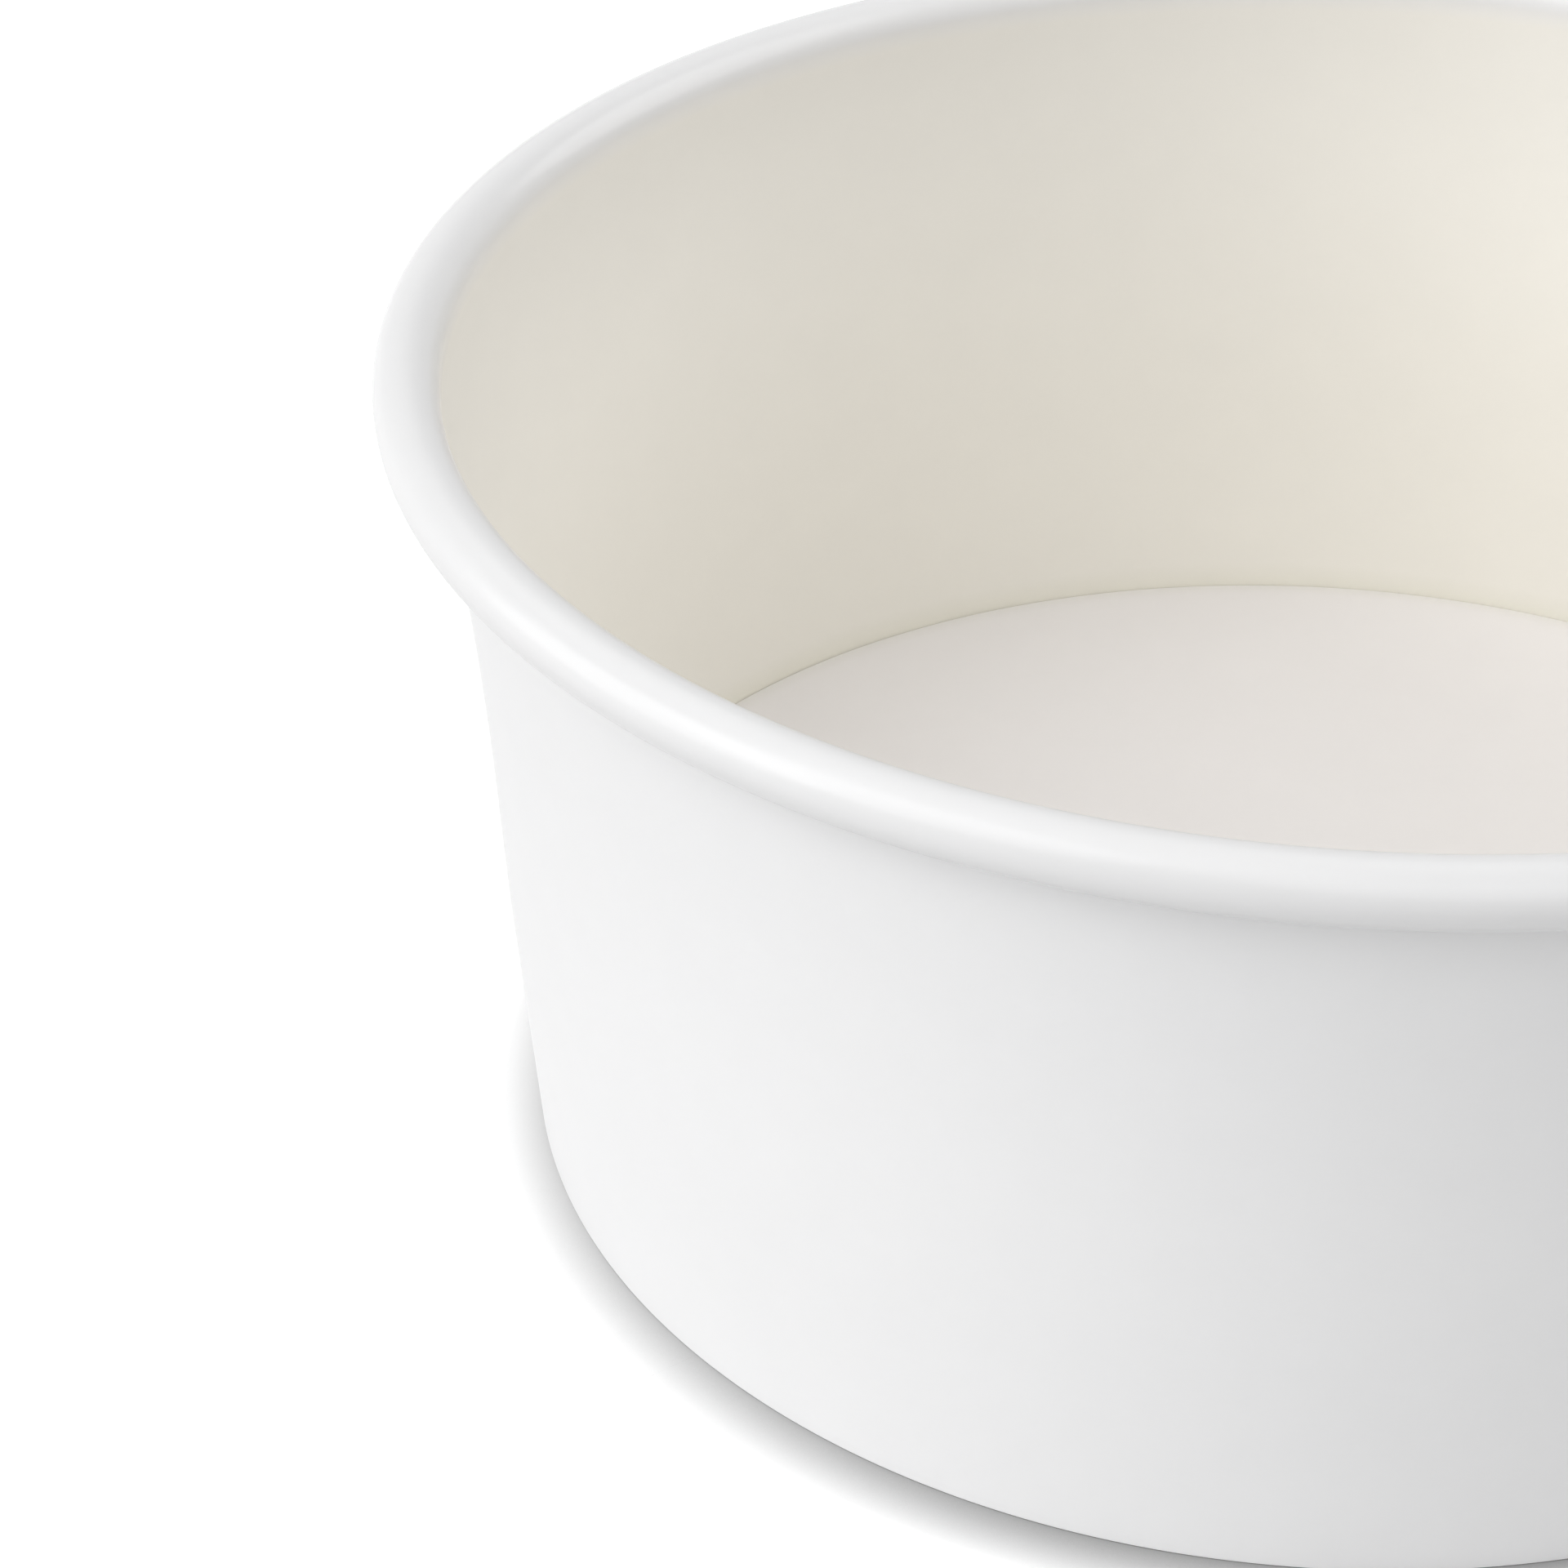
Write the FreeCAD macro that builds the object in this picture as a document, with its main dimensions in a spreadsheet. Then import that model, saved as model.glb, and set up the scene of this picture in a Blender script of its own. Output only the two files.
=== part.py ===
import FreeCAD, Part
import math
import os

import Sketcher
from FreeCAD import Vector

# Paper sundae cup: a folded board wall with a rolled rim, and a pressed board disc held in its hem.
# Millimetres. The table top is z = 0, the cup's own axis is Z, and the wall's side seam faces +X.

# Driving sizes: name, value, what it is.
SIZES = (
    ("rim_diameter", 95.0, "outside of the rolled rim"),
    ("cup_height", 42.5, "table to the top of the rim"),
    ("base_diameter", 80.5, "wall's outer face, carried down to the table"),
    ("board_thickness", 0.35, "paper board of the wall and of the disc"),
    ("roll_diameter", 3.2, "height and width of the rolled rim"),
    ("roll_gap", 0.12, "between the tucked-in edge of the rim and the wall"),
    ("floor_height", 5.6, "table to the upper face of the disc"),
    ("disc_corner", 0.9, "outside radius where the disc turns down into its skirt"),
    ("foot_edge", 0.16, "outside radius of the hem's outer bottom edge, pressed sharp"),
    ("hem_corner", 0.42, "outside radius of the hem's inner bottom edge"),
    ("hem_clearance", 0.3, "top edge of the hem below the disc's corner"),
    ("skirt_clearance", 0.1, "lower edge of the skirt above the fold of the hem"),
    ("glue_line", 0.03, "each face of the skirt to the board beside it"),
    ("seam_width", 7.0, "overlap of the wall's two ends"),
    ("seam_ramp", 2.0, "width over which the outer end comes back to the wall"),
    ("seam_swell", 0.2, "how far the rim stands out over the seam"),
)

# Geometry index of a sketch's own axes and origin, and the numbers of a curve's points.
X_AXIS, Z_AXIS = range(-1, -3, -1)
ORIGIN = X_AXIS
START, END, CENTRE = range(1, 4)

# The seam's ramps fall one board thickness over their width, and are drawn half a board further on.
RAMP_OVERRUN = 1.5


def make_sheet(doc):
    sheet = doc.addObject("Spreadsheet::Sheet", "Sizes")
    for row, (alias, value, note) in enumerate(SIZES, start=1):
        sheet.set(f"A{row}", alias)
        sheet.set(f"B{row}", str(value))
        sheet.set(f"C{row}", note)
        sheet.setAlias(f"B{row}", alias)
    doc.recompute()
    return sheet


def new_sketch(body, name, plane_role):
    sketch = body.newObject("Sketcher::SketchObject", name)
    plane = next(item for item in body.Origin.OriginFeatures if item.Role == plane_role)
    sketch.AttachmentSupport = [(plane, "")]
    sketch.MapMode = "FlatFace"
    return sketch


def line(sketch, first, second, construction=False):
    return sketch.addGeometry(Part.LineSegment(Vector(*first), Vector(*second)), construction)


def circle(sketch, centre, radius, construction=False):
    return sketch.addGeometry(Part.Circle(Vector(*centre), Vector(0, 0, 1), radius), construction)


def arc(sketch, centre, radius, start_angle, end_angle):
    """Anticlockwise arc, angles in radians."""
    round_edge = Part.Circle(Vector(*centre), Vector(0, 0, 1), radius)
    return sketch.addGeometry(Part.ArcOfCircle(round_edge, start_angle, end_angle), False)


def relate(sketch, kind, *where):
    return sketch.addConstraint(Sketcher.Constraint(kind, *where))


def size(sketch, name, expression, kind, *where):
    """A dimension bound to the sheet, which starts at the value that the sheet gives it."""
    value = sketch.evalExpression(expression)
    index = sketch.addConstraint(Sketcher.Constraint(kind, *where, float(value)))
    sketch.renameConstraint(index, name)
    sketch.setExpression(f"Constraints.{name}", expression)
    return index


class WallLine:
    """Where the slanted wall runs, worked out from the sheet so that every sketch is drawn where it belongs.

    The wall's outer face starts at half the base diameter on the table and meets the rim's roll as a
    tangent to the inside of the rolled board. at(up, inward) is a point so far up the slope and so far
    in from the outer face, square to it.
    """

    def __init__(self, sheet):
        self.board = sheet.board_thickness
        self.roll = sheet.roll_diameter / 2
        self.foot = sheet.base_diameter / 2
        self.roll_centre = (sheet.rim_diameter / 2 - self.roll, sheet.cup_height - self.roll)
        across = self.roll_centre[0] - self.foot
        rise = self.roll_centre[1]
        reach = math.hypot(across, rise)
        self.lean = math.acos((self.roll - self.board) / reach) - math.atan2(rise, across)
        self.length = across * math.sin(self.lean) + rise * math.cos(self.lean)

    def at(self, up, inward):
        sine, cosine = math.sin(self.lean), math.cos(self.lean)
        return (self.foot + up * sine - inward * cosine, up * cosine + inward * sine)

    def up_at_height(self, height, inward):
        return (height - inward * math.sin(self.lean)) / math.cos(self.lean)


def draw_wall_line(sketch, wall):
    """Construction lines for the wall's outer face: from the base diameter, tangent to the roll's inside."""
    inside_roll = circle(sketch, wall.roll_centre, wall.roll - wall.board, True)
    face = line(sketch, wall.at(0, 0), wall.at(wall.length, 0), True)
    size(sketch, "roll_centre_x", "Sizes.rim_diameter / 2 - Sizes.roll_diameter / 2",
         "DistanceX", ORIGIN, START, inside_roll, CENTRE)
    size(sketch, "roll_centre_z", "Sizes.cup_height - Sizes.roll_diameter / 2",
         "DistanceY", ORIGIN, START, inside_roll, CENTRE)
    size(sketch, "roll_inside", "Sizes.roll_diameter / 2 - Sizes.board_thickness", "Radius", inside_roll)
    relate(sketch, "PointOnObject", face, START, X_AXIS)
    size(sketch, "foot", "Sizes.base_diameter / 2", "DistanceX", ORIGIN, START, face, START)
    relate(sketch, "Tangent", face, END, inside_roll)
    return face


def draw_wall_profile(body, sheet, wall):
    """The whole board of the wall in section: hem, wall and roll, one strip of even thickness."""
    sketch = new_sketch(body, "WallProfile", "XZ_Plane")
    board, roll, lean = wall.board, wall.roll, wall.lean
    quarter, half = math.pi / 2, math.pi
    tuck = roll - board - sheet.roll_gap
    centre_x, centre_z = wall.roll_centre
    tuck_centre = (centre_x, centre_z - roll + tuck)
    hem_width = 3 * board + 2 * sheet.glue_line
    fold = (board + 2 * sheet.glue_line) / 2
    edge = sheet.foot_edge
    corner = sheet.hem_corner
    hem_top = sheet.floor_height - sheet.disc_corner - sheet.hem_clearance
    outer_corner_up = wall.up_at_height(edge, edge)
    inner_corner_up = wall.up_at_height(corner, hem_width - corner)
    fold_up = wall.up_at_height(board + fold, hem_width / 2)
    hem_up = wall.up_at_height(hem_top, hem_width - board)
    outer_corner = wall.at(outer_corner_up, edge)
    inner_corner = wall.at(inner_corner_up, hem_width - corner)

    outer_face = line(sketch, wall.at(outer_corner_up, 0), wall.at(wall.length, 0))
    roll_inner = arc(sketch, wall.roll_centre, roll - board, -quarter, half - lean)
    tuck_inner = arc(sketch, tuck_centre, tuck - board, quarter, half + quarter)
    board_edge = line(sketch, (centre_x, tuck_centre[1] + tuck - board), (centre_x, tuck_centre[1] + tuck))
    tuck_outer = arc(sketch, tuck_centre, tuck, quarter, half + quarter)
    roll_outer = arc(sketch, wall.roll_centre, roll, -quarter, half - lean)
    inner_face = line(sketch, wall.at(wall.length, board), wall.at(fold_up, board))
    fold_inner = arc(sketch, wall.at(fold_up, hem_width / 2), fold, half - lean, 2 * half - lean)
    hem_outer_face = line(sketch, wall.at(fold_up, hem_width - board), wall.at(hem_up, hem_width - board))
    hem_edge = line(sketch, wall.at(hem_up, hem_width - board), wall.at(hem_up, hem_width))
    hem_inner_face = line(sketch, wall.at(hem_up, hem_width), wall.at(inner_corner_up, hem_width))
    inner_bend = arc(sketch, inner_corner, corner, half - lean, half + quarter)
    foot_face = line(sketch, (inner_corner[0], 0), (outer_corner[0], 0))
    outer_bend = arc(sketch, outer_corner, edge, -quarter, -lean)

    for first, first_point, second, second_point in (
        (outer_face, END, roll_inner, END),
        (roll_inner, START, tuck_inner, END),
        (tuck_outer, END, roll_outer, START),
        (roll_outer, END, inner_face, START),
        (inner_face, END, fold_inner, END),
        (fold_inner, START, hem_outer_face, START),
        (hem_inner_face, END, inner_bend, START),
        (inner_bend, END, foot_face, START),
        (foot_face, END, outer_bend, START),
        (outer_bend, END, outer_face, START),
    ):
        relate(sketch, "Tangent", first, first_point, second, second_point)
    for first, first_point, second, second_point in (
        (tuck_inner, START, board_edge, START),
        (board_edge, END, tuck_outer, START),
        (hem_outer_face, END, hem_edge, START),
        (hem_edge, END, hem_inner_face, START),
        (roll_inner, CENTRE, roll_outer, CENTRE),
        (tuck_inner, CENTRE, tuck_outer, CENTRE),
    ):
        relate(sketch, "Coincident", first, first_point, second, second_point)
    relate(sketch, "Vertical", roll_outer, START, roll_outer, CENTRE)
    relate(sketch, "Vertical", tuck_outer, START, tuck_outer, CENTRE)
    relate(sketch, "Vertical", board_edge)
    for other_face in (inner_face, hem_outer_face, hem_inner_face):
        relate(sketch, "Parallel", outer_face, other_face)
    relate(sketch, "Perpendicular", hem_edge, hem_outer_face)
    relate(sketch, "PointOnObject", foot_face, START, X_AXIS)
    relate(sketch, "PointOnObject", foot_face, END, X_AXIS)
    foot = sketch.addGeometry(Part.Point(Vector(wall.foot, 0, 0)), True)
    relate(sketch, "PointOnObject", foot, START, X_AXIS)
    relate(sketch, "PointOnObject", foot, START, outer_face)

    size(sketch, "foot", "Sizes.base_diameter / 2", "DistanceX", ORIGIN, START, foot, START)
    size(sketch, "roll_outside", "Sizes.roll_diameter / 2", "Radius", roll_outer)
    size(sketch, "roll_inside", "Sizes.roll_diameter / 2 - Sizes.board_thickness", "Radius", roll_inner)
    size(sketch, "tuck_outside", "Sizes.roll_diameter / 2 - Sizes.board_thickness - Sizes.roll_gap",
         "Radius", tuck_outer)
    size(sketch, "roll_centre_x", "Sizes.rim_diameter / 2 - Sizes.roll_diameter / 2",
         "DistanceX", ORIGIN, START, roll_outer, CENTRE)
    size(sketch, "roll_centre_z", "Sizes.cup_height - Sizes.roll_diameter / 2",
         "DistanceY", ORIGIN, START, roll_outer, CENTRE)
    size(sketch, "outer_bend_radius", "Sizes.foot_edge", "Radius", outer_bend)
    size(sketch, "inner_bend_radius", "Sizes.hem_corner", "Radius", inner_bend)
    size(sketch, "hem_outer_depth", "2 * Sizes.board_thickness + 2 * Sizes.glue_line",
         "Distance", hem_outer_face, END, outer_face)
    size(sketch, "hem_inner_depth", "3 * Sizes.board_thickness + 2 * Sizes.glue_line",
         "Distance", hem_inner_face, START, outer_face)
    size(sketch, "fold_centre_z", "1.5 * Sizes.board_thickness + Sizes.glue_line",
         "DistanceY", ORIGIN, START, fold_inner, CENTRE)
    size(sketch, "hem_top", "Sizes.floor_height - Sizes.disc_corner - Sizes.hem_clearance",
         "DistanceY", ORIGIN, START, hem_outer_face, END)
    return sketch


def turn(body, name, sketch, angle=None):
    """Revolution of a section about the cup's axis: all the way round, or evenly about the seam."""
    feature = body.newObject("PartDesign::Revolution", name)
    feature.Profile = sketch
    feature.ReferenceAxis = (sketch, ["V_Axis"])
    if angle is None:
        feature.Angle = 360
    else:
        feature.Midplane = True
        feature.setExpression("Angle", angle)
    sketch.Visibility = False
    return feature


def draw_seam_path(body, sheet, wall):
    """The line up the wall's outer face that the seam follows, and its radius at the height of the disc."""
    sketch = new_sketch(body, "SeamPath", "XZ_Plane")
    face = draw_wall_line(sketch, wall)
    path = line(sketch, wall.at(0, 0), wall.at(wall.length, 0))
    relate(sketch, "Coincident", path, START, face, START)
    relate(sketch, "Coincident", path, END, face, END)
    at_floor = wall.at(wall.up_at_height(sheet.floor_height, 0), 0)
    mark = sketch.addGeometry(Part.Point(Vector(*at_floor)), True)
    relate(sketch, "PointOnObject", mark, START, path)
    size(sketch, "floor_height", "Sizes.floor_height", "DistanceY", ORIGIN, START, mark, START)
    read_out = relate(sketch, "DistanceX", ORIGIN, START, mark, START, at_floor[0])
    sketch.setDriving(read_out, False)
    sketch.renameConstraint(read_out, "face_at_floor")
    return sketch


def draw_seam_section(body, sheet, wall):
    """The outer end of the board in plan, on the table: a cut edge on one side and a ramp on the other."""
    sketch = new_sketch(body, "SeamSection", "XY_Plane")
    low = wall.foot - wall.board / 2
    high = wall.foot + wall.board
    half_width = sheet.seam_width / 2
    ramp_end = half_width + RAMP_OVERRUN * sheet.seam_ramp
    high_angle = math.asin(half_width / high)
    low_angle = math.asin(ramp_end / low)
    upper = arc(sketch, (0, 0), high, -high_angle, high_angle)
    lower = arc(sketch, (0, 0), low, -high_angle, low_angle)
    cut_edge = line(sketch, (low * math.cos(high_angle), -low * math.sin(high_angle)),
                    (high * math.cos(high_angle), -half_width))
    ramp = line(sketch, (high * math.cos(high_angle), half_width), (low * math.cos(low_angle), ramp_end))
    relate(sketch, "Coincident", upper, CENTRE, ORIGIN, START)
    relate(sketch, "Coincident", lower, CENTRE, ORIGIN, START)
    relate(sketch, "Coincident", cut_edge, START, lower, START)
    relate(sketch, "Coincident", cut_edge, END, upper, START)
    relate(sketch, "Coincident", ramp, START, upper, END)
    relate(sketch, "Coincident", ramp, END, lower, END)
    relate(sketch, "PointOnObject", ORIGIN, START, cut_edge)
    size(sketch, "upper_radius", "Sizes.base_diameter / 2 + Sizes.board_thickness", "Radius", upper)
    size(sketch, "lower_radius", "Sizes.base_diameter / 2 - Sizes.board_thickness / 2", "Radius", lower)
    size(sketch, "cut_side", "Sizes.seam_width / 2", "DistanceY", upper, START, ORIGIN, START)
    size(sketch, "ramp_side", "Sizes.seam_width / 2", "DistanceY", ORIGIN, START, upper, END)
    size(sketch, "ramp_width", f"{RAMP_OVERRUN} * Sizes.seam_ramp", "DistanceY", upper, END, lower, END)
    return sketch


def draw_seam_groove(body, sheet, wall):
    """In plan at the disc: the step at the board's inner end, and the ramp of the outer end beside it."""
    sketch = new_sketch(body, "SeamGrooveSection", "XY_Plane")
    sketch.setExpression("AttachmentOffset.Base.z", "Sizes.floor_height")
    face = wall.at(wall.up_at_height(sheet.floor_height, 0), 0)[0]
    inside = face - RAMP_OVERRUN * wall.board
    step = sheet.seam_width / 2
    ramp_end = step + RAMP_OVERRUN * sheet.seam_ramp
    face_circle = circle(sketch, (0, 0), face, True)
    inside_circle = circle(sketch, (0, 0), inside, True)
    corners = (
        (math.sqrt(inside**2 - step**2), step),
        (math.sqrt(face**2 - step**2), step),
        (math.sqrt(inside**2 - ramp_end**2), ramp_end),
    )
    board_end = line(sketch, corners[0], corners[1])
    ramp = line(sketch, corners[1], corners[2])
    opening = line(sketch, corners[2], corners[0])
    relate(sketch, "Coincident", board_end, END, ramp, START)
    relate(sketch, "Coincident", ramp, END, opening, START)
    relate(sketch, "Coincident", opening, END, board_end, START)
    relate(sketch, "Coincident", face_circle, CENTRE, ORIGIN, START)
    relate(sketch, "Coincident", inside_circle, CENTRE, ORIGIN, START)
    relate(sketch, "PointOnObject", board_end, START, inside_circle)
    relate(sketch, "PointOnObject", board_end, END, face_circle)
    relate(sketch, "PointOnObject", ramp, END, inside_circle)
    relate(sketch, "Horizontal", board_end)
    size(sketch, "face_radius", "SeamPath.Constraints.face_at_floor", "Radius", face_circle)
    size(sketch, "inside_radius",
         f"SeamPath.Constraints.face_at_floor - {RAMP_OVERRUN} mm * Sizes.board_thickness",
         "Radius", inside_circle)
    size(sketch, "step_side", "Sizes.seam_width / 2", "DistanceY", ORIGIN, START, board_end, START)
    size(sketch, "ramp_width", f"{RAMP_OVERRUN} * Sizes.seam_ramp", "DistanceY", ramp, START, ramp, END)
    return sketch


def draw_rim_swell(body, sheet, wall):
    """The roll over the seam, where it holds one more thickness of board: a C of a slightly larger radius."""
    sketch = new_sketch(body, "RimSwell", "XZ_Plane")
    bottom, top = -math.pi / 2, math.pi - wall.lean
    outside = wall.roll + sheet.seam_swell
    inside = wall.roll - wall.board / 2
    centre_x, centre_z = wall.roll_centre
    outer = arc(sketch, wall.roll_centre, outside, bottom, top)
    inner = arc(sketch, wall.roll_centre, inside, bottom, top)
    lower_edge = line(sketch, (centre_x, centre_z - inside), (centre_x, centre_z - outside))
    upper_edge = line(sketch, (centre_x + inside * math.cos(top), centre_z + inside * math.sin(top)),
                      (centre_x + outside * math.cos(top), centre_z + outside * math.sin(top)))
    relate(sketch, "Coincident", outer, CENTRE, inner, CENTRE)
    relate(sketch, "Coincident", lower_edge, START, inner, START)
    relate(sketch, "Coincident", lower_edge, END, outer, START)
    relate(sketch, "Coincident", upper_edge, START, inner, END)
    relate(sketch, "Coincident", upper_edge, END, outer, END)
    relate(sketch, "Vertical", outer, START, outer, CENTRE)
    relate(sketch, "Vertical", lower_edge)
    face = draw_wall_line(sketch, wall)
    relate(sketch, "Perpendicular", upper_edge, face)
    relate(sketch, "PointOnObject", outer, CENTRE, upper_edge)
    size(sketch, "swell_outside", "Sizes.roll_diameter / 2 + Sizes.seam_swell", "Radius", outer)
    size(sketch, "swell_inside", "Sizes.roll_diameter / 2 - Sizes.board_thickness / 2", "Radius", inner)
    size(sketch, "swell_centre_x", "Sizes.rim_diameter / 2 - Sizes.roll_diameter / 2",
         "DistanceX", ORIGIN, START, outer, CENTRE)
    size(sketch, "swell_centre_z", "Sizes.cup_height - Sizes.roll_diameter / 2",
         "DistanceY", ORIGIN, START, outer, CENTRE)
    return sketch


def make_side_wall(doc, sheet, wall):
    body = doc.addObject("PartDesign::Body", "SideWall")
    body.Label = "side_wall"
    turn(body, "WallBoard", draw_wall_profile(body, sheet, wall))
    path = draw_seam_path(body, sheet, wall)
    overlap = body.newObject("PartDesign::Pad", "SeamOverlap")
    overlap.Profile = draw_seam_section(body, sheet, wall)
    overlap.ReferenceAxis = (path, ["Edge1"])
    overlap.AlongSketchNormal = True
    overlap.setExpression("Length", "Sizes.cup_height - Sizes.roll_diameter / 2")
    doc.recompute()
    groove = body.newObject("PartDesign::Pocket", "SeamGroove")
    groove.Profile = draw_seam_groove(body, sheet, wall)
    groove.ReferenceAxis = (path, ["Edge1"])
    groove.AlongSketchNormal = True
    groove.Reversed = True
    groove.setExpression("Length", "Sizes.cup_height - Sizes.roll_diameter / 2 - Sizes.floor_height")
    doc.recompute()
    if groove.Shape.Volume >= overlap.Shape.Volume:
        raise RuntimeError("the seam's groove cuts nothing")
    seam_angle = "2 * asin(Sizes.seam_width / Sizes.rim_diameter)"
    turn(body, "SeamRim", draw_rim_swell(body, sheet, wall), seam_angle)
    body.Placement = FreeCAD.Placement()
    return body


def draw_disc_profile(body, sheet, wall):
    """The disc in section: flat floor, rounded corner, and the skirt that stands between wall and hem."""
    sketch = new_sketch(body, "DiscProfile", "XZ_Plane")
    board, lean = wall.board, wall.lean
    skirt_face = board + sheet.glue_line
    corner = sheet.disc_corner
    floor = sheet.floor_height
    skirt_foot = 1.5 * board + sheet.glue_line + sheet.skirt_clearance
    corner_up = wall.up_at_height(floor - corner, skirt_face + corner)
    corner_centre = wall.at(corner_up, skirt_face + corner)

    floor_top = line(sketch, (0, floor), (corner_centre[0], floor))
    corner_outer = arc(sketch, corner_centre, corner, -lean, math.pi / 2)
    skirt_outer = line(sketch, wall.at(corner_up, skirt_face),
                       wall.at(wall.up_at_height(skirt_foot, skirt_face), skirt_face))
    skirt_edge = line(sketch, wall.at(wall.up_at_height(skirt_foot, skirt_face), skirt_face),
                      wall.at(wall.up_at_height(skirt_foot, skirt_face + board), skirt_face + board))
    skirt_inner = line(sketch, wall.at(wall.up_at_height(skirt_foot, skirt_face + board), skirt_face + board),
                       wall.at(corner_up, skirt_face + board))
    corner_inner = arc(sketch, corner_centre, corner - board, -lean, math.pi / 2)
    floor_under = line(sketch, (corner_centre[0], floor - board), (0, floor - board))
    axis_edge = line(sketch, (0, floor - board), (0, floor))

    for first, first_point, second, second_point in (
        (floor_top, END, corner_outer, END),
        (corner_outer, START, skirt_outer, START),
        (skirt_inner, END, corner_inner, START),
        (corner_inner, END, floor_under, START),
    ):
        relate(sketch, "Tangent", first, first_point, second, second_point)
    for first, first_point, second, second_point in (
        (skirt_outer, END, skirt_edge, START),
        (skirt_edge, END, skirt_inner, START),
        (floor_under, END, axis_edge, START),
        (axis_edge, END, floor_top, START),
        (corner_outer, CENTRE, corner_inner, CENTRE),
    ):
        relate(sketch, "Coincident", first, first_point, second, second_point)
    relate(sketch, "Horizontal", floor_top)
    relate(sketch, "Horizontal", floor_under)
    relate(sketch, "Horizontal", skirt_edge)
    relate(sketch, "Parallel", skirt_outer, skirt_inner)
    relate(sketch, "PointOnObject", axis_edge, START, Z_AXIS)
    relate(sketch, "PointOnObject", axis_edge, END, Z_AXIS)
    face = draw_wall_line(sketch, wall)
    relate(sketch, "Parallel", skirt_outer, face)
    size(sketch, "skirt_depth", "Sizes.board_thickness + Sizes.glue_line",
         "Distance", skirt_outer, START, face)
    size(sketch, "floor_height", "Sizes.floor_height", "DistanceY", ORIGIN, START, axis_edge, END)
    size(sketch, "floor_thickness", "Sizes.board_thickness", "DistanceY", axis_edge, START, axis_edge, END)
    size(sketch, "corner_radius", "Sizes.disc_corner", "Radius", corner_outer)
    size(sketch, "skirt_foot", "1.5 * Sizes.board_thickness + Sizes.glue_line + Sizes.skirt_clearance",
         "DistanceY", ORIGIN, START, skirt_edge, START)
    return sketch


def make_bottom_disc(doc, sheet, wall):
    body = doc.addObject("PartDesign::Body", "BottomDisc")
    body.Label = "bottom_disc"
    turn(body, "DiscBoard", draw_disc_profile(body, sheet, wall))
    body.Placement = FreeCAD.Placement()
    return body


def check(doc, bodies):
    for item in doc.Objects:
        if {"Invalid", "Error"} & set(item.State):
            raise RuntimeError(f"{item.Name} failed: {item.State}")
    for body in bodies:
        if body.Shape.isNull() or not body.Shape.isValid() or len(body.Shape.Solids) != 1:
            raise RuntimeError(f"{body.Label} isn't one sound solid")


def main():
    doc = FreeCAD.newDocument("SundaeCup")
    sheet = make_sheet(doc)
    wall = WallLine(sheet)
    bodies = [make_side_wall(doc, sheet, wall), make_bottom_disc(doc, sheet, wall)]
    doc.recompute()
    check(doc, bodies)
    os.makedirs("parts", exist_ok=True)
    for body in bodies:
        body.Shape.exportStep(f"parts/{body.Label}.step")
        box = body.Shape.optimalBoundingBox(False, False)
        print(f"{body.Label}: {body.Shape.Volume:.1f} mm3, "
              f"{box.XLength:.2f} x {box.YLength:.2f} x {box.ZLength:.2f} mm")


main()
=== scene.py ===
import math

import bpy
import numpy as np
from mathutils import Matrix


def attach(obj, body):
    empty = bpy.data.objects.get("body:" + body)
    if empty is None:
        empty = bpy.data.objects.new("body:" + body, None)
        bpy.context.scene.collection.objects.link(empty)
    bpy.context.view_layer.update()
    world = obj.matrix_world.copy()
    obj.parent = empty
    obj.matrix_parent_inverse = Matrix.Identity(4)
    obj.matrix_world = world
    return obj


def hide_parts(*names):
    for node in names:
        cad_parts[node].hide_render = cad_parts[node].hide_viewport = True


# Paper sundae cup: a board wall with a rolled rim, and a pressed board disc held in the wall's hem.
# Shapes are worked out in millimetres on the cup's own axis and written into the meshes in metres.

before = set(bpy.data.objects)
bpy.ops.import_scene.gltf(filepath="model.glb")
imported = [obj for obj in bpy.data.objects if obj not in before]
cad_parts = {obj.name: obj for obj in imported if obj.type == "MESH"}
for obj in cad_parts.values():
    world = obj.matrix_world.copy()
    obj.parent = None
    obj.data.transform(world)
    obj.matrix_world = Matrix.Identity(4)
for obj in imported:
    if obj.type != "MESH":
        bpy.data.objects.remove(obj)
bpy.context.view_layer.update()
mm = 0.001
print("frame loaded")

cup = {
    "rimDiameter": 95.0,
    "height": 42.5,
    "baseDiameter": 80.5,
    "board": 0.35,  # thickness of the paper board
    "rollDiameter": 3.2,
    "rollGap": 0.12,  # between the tucked-in edge and the roll's inside
    "floorHeight": 5.6,  # upper face of the disc
    "discCorner": 0.9,  # radius with which the disc turns down into its skirt
    "footEdge": 0.16,  # radius of the hem's outer bottom edge, pressed sharp
    "hemCorner": 0.42,  # radius of its inner bottom edge
    "hemClearance": 0.3,  # from the hem's edge up to the disc's corner
    "skirtClearance": 0.1,  # from the fold up to the skirt's edge
    "glueLine": 0.03,  # between two layers of board
}


# Shared shapes

def smooth(low, high, value):
    # Cubic step: 3t^2 - 2t^3 of the share t of the way from low to high
    share = np.clip((value - low) / (high - low), 0.0, 1.0)
    return share * share * (3.0 - 2.0 * share)


def wallLine():
    # The wall's outer face in section: from the base diameter on the table, leaning out until it is
    # tangent to the circle inside the roll. lean = acos(inside radius / reach) - slope of the reach
    rollRadius = cup["rollDiameter"] / 2
    rollCentre = np.array([cup["rimDiameter"] / 2 - rollRadius, cup["height"] - rollRadius])
    across = rollCentre[0] - cup["baseDiameter"] / 2
    rise = rollCentre[1]
    reach = math.hypot(across, rise)
    lean = math.acos((rollRadius - cup["board"]) / reach) - math.atan2(rise, across)
    length = across * math.sin(lean) + rise * math.cos(lean)
    return {"rollRadius": rollRadius, "rollCentre": rollCentre, "lean": lean, "length": length}


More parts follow.
